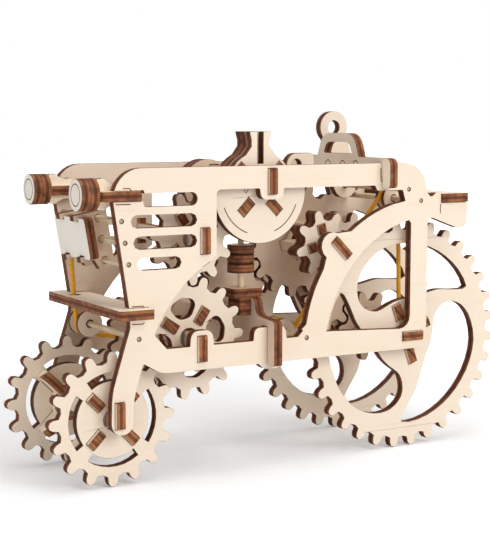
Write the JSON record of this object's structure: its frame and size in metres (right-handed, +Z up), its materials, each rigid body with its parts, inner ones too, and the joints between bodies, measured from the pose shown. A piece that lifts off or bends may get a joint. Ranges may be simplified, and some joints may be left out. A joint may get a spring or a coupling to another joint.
{
  "type": "wooden tractor model",
  "caption": "Laser-cut plywood tractor model with meshing wooden gears, toothed wheels, a standing governor shaft, rubber bands and small levers.",
  "frame": {"origin": "on the standing surface, under the middle of the tractor's box", "axes": "+X to the tractor's rear, -Y to its left side, +Z up"},
  "size_m": [0.1686, 0.0568, 0.1142],
  "materials": {
    "plywood": "bare laser-cut birch plywood with burnt edges",
    "rod_wood": "bare turned rod",
    "turned_wood": "stacked plywood discs",
    "band_rubber": "matt amber rubber"
  },
  "bodies": {
    "chassis": {"left_frame": "plywood", "right_frame": "plywood", "front_axle_bar": "plywood", "drive_gear_bar": "plywood", "top_gear_bar": "plywood", "engine_bar": "plywood", "pinion_bar": "plywood", "rear_axle_bar": "plywood", "front_pulley_rod": "rod_wood", "guide_pulley_rod": "rod_wood", "rear_drum_rod": "rod_wood", "ring_lever_rod": "rod_wood", "upper_grille_rod": "rod_wood", "middle_grille_rod": "rod_wood", "lower_grille_rod": "rod_wood", "lever_rest_rod": "rod_wood", "front_platform": "plywood", "left_headlight": "plywood", "right_headlight": "plywood", "left_headlight_bracket": "plywood", "right_headlight_bracket": "plywood", "badge": "plywood", "left_badge_bracket": "plywood", "right_badge_bracket": "plywood", "engine_front_plate": "plywood", "engine_back_plate": "plywood", "engine_cross": "plywood", "clip_plate": "plywood", "governor_seat": "plywood", "dashboard": "plywood", "hitch_plate": "plywood", "hitch_eye": "plywood", "gear_carrier_plate": "plywood", "rear_band": "band_rubber", "front_band": "band_rubber", "far_engine_disc": "plywood"},
    "rear_axle": {"rear_left_wheel": "plywood", "rear_right_wheel": "plywood", "rear_hub": "plywood", "rear_axle_gear": "plywood"},
    "front_left": {"front_left_wheel": "plywood", "front_left_hub": "plywood"},
    "front_right": {"front_right_wheel": "plywood", "front_right_hub": "plywood"},
    "drive_shaft": {"drive_gear": "plywood", "drive_gear_inner": "plywood", "drive_hub": "plywood"},
    "top_shaft": {"top_gear": "plywood", "top_hub": "plywood"},
    "pinion_shaft": {"pinion": "plywood", "large_gear": "plywood", "pinion_hub": "plywood"},
    "link": {"link_gear": "plywood"},
    "idler": {"idler_gear": "plywood"},
    "governor_shaft": {"governor": "turned_wood"},
    "front_band_pulley": {"front_pulley": "turned_wood"},
    "guide_band_pulley": {"guide_pulley": "turned_wood"},
    "rear_band_drum": {"rear_drum": "turned_wood"},
    "ring_lever_body": {"ring_lever": "plywood"},
    "pull_lever_body": {"pull_lever": "plywood"}
  },
  "joints": [
    {"name": "rear_axle_spin", "type": "hinge", "parent": "chassis", "child": "rear_axle", "pos_m": [0.04539, 0, 0.03891], "axis": [0, 1, 0], "continuous": true},
    {"name": "front_left_wheel_spin", "type": "hinge", "parent": "chassis", "child": "front_left", "pos_m": [-0.06331, -0.0173, 0.021], "axis": [0, 1, 0], "continuous": true},
    {"name": "front_right_wheel_spin", "type": "hinge", "parent": "chassis", "child": "front_right", "pos_m": [-0.06331, 0.0173, 0.021], "axis": [0, 1, 0], "continuous": true},
    {"name": "idler_spin", "type": "hinge", "parent": "chassis", "child": "idler", "pos_m": [0.02828, 0.0035, 0.04762], "axis": [0, 1, 0], "continuous": true},
    {"name": "pinion_shaft_spin", "type": "hinge", "parent": "chassis", "child": "pinion_shaft", "pos_m": [0.01546, 0, 0.0707], "axis": [0, 1, 0], "continuous": true},
    {"name": "link_spin", "type": "hinge", "parent": "chassis", "child": "link", "pos_m": [-0.00987, 0.0035, 0.057], "axis": [0, 1, 0], "continuous": true},
    {"name": "drive_shaft_spin", "type": "hinge", "parent": "chassis", "child": "drive_shaft", "pos_m": [-0.03521, 0, 0.0433], "axis": [0, 1, 0], "continuous": true},
    {"name": "top_shaft_spin", "type": "hinge", "parent": "chassis", "child": "top_shaft", "pos_m": [-0.03401, -0.0138, 0.07448], "axis": [0, 1, 0], "continuous": true},
    {"name": "rear_drum_spin", "type": "hinge", "parent": "chassis", "child": "rear_band_drum", "pos_m": [0.04829, -0.006, 0.0844], "axis": [0, 1, 0], "continuous": true},
    {"name": "guide_pulley_spin", "type": "hinge", "parent": "chassis", "child": "guide_band_pulley", "pos_m": [0.00309, -0.006, 0.0415], "axis": [0, 1, 0], "continuous": true},
    {"name": "front_pulley_spin", "type": "hinge", "parent": "chassis", "child": "front_band_pulley", "pos_m": [-0.05671, 0.0164, 0.0458], "axis": [0, 1, 0], "continuous": true},
    {"name": "governor_spin", "type": "hinge", "parent": "chassis", "child": "governor_shaft", "pos_m": [-0.01351, -0.01, 0.0714], "axis": [0, 0, 1], "continuous": true},
    {"name": "ring_lever_tilt", "type": "hinge", "parent": "chassis", "child": "ring_lever_body", "pos_m": [0.04319, 0.0152, 0.0883], "axis": [0, 1, 0], "range_deg": [0, 15]},
    {"name": "pull_lever_slide", "type": "slide", "parent": "chassis", "child": "pull_lever_body", "axis": [1, 0, 0], "range_m": [-0.006, 0]}
  ],
  "couplings": [
    {"joint": "idler_spin", "follows": "rear_axle_spin", "ratio": -1.2857},
    {"joint": "pinion_shaft_spin", "follows": "rear_axle_spin", "ratio": 0.6},
    {"joint": "link_spin", "follows": "rear_axle_spin", "ratio": -1},
    {"joint": "drive_shaft_spin", "follows": "rear_axle_spin", "ratio": 0.6},
    {"joint": "top_shaft_spin", "follows": "rear_axle_spin", "ratio": -0.81818},
    {"joint": "rear_drum_spin", "follows": "rear_axle_spin", "ratio": 2.0704},
    {"joint": "guide_pulley_spin", "follows": "rear_axle_spin", "ratio": -2.0704}
  ]
}
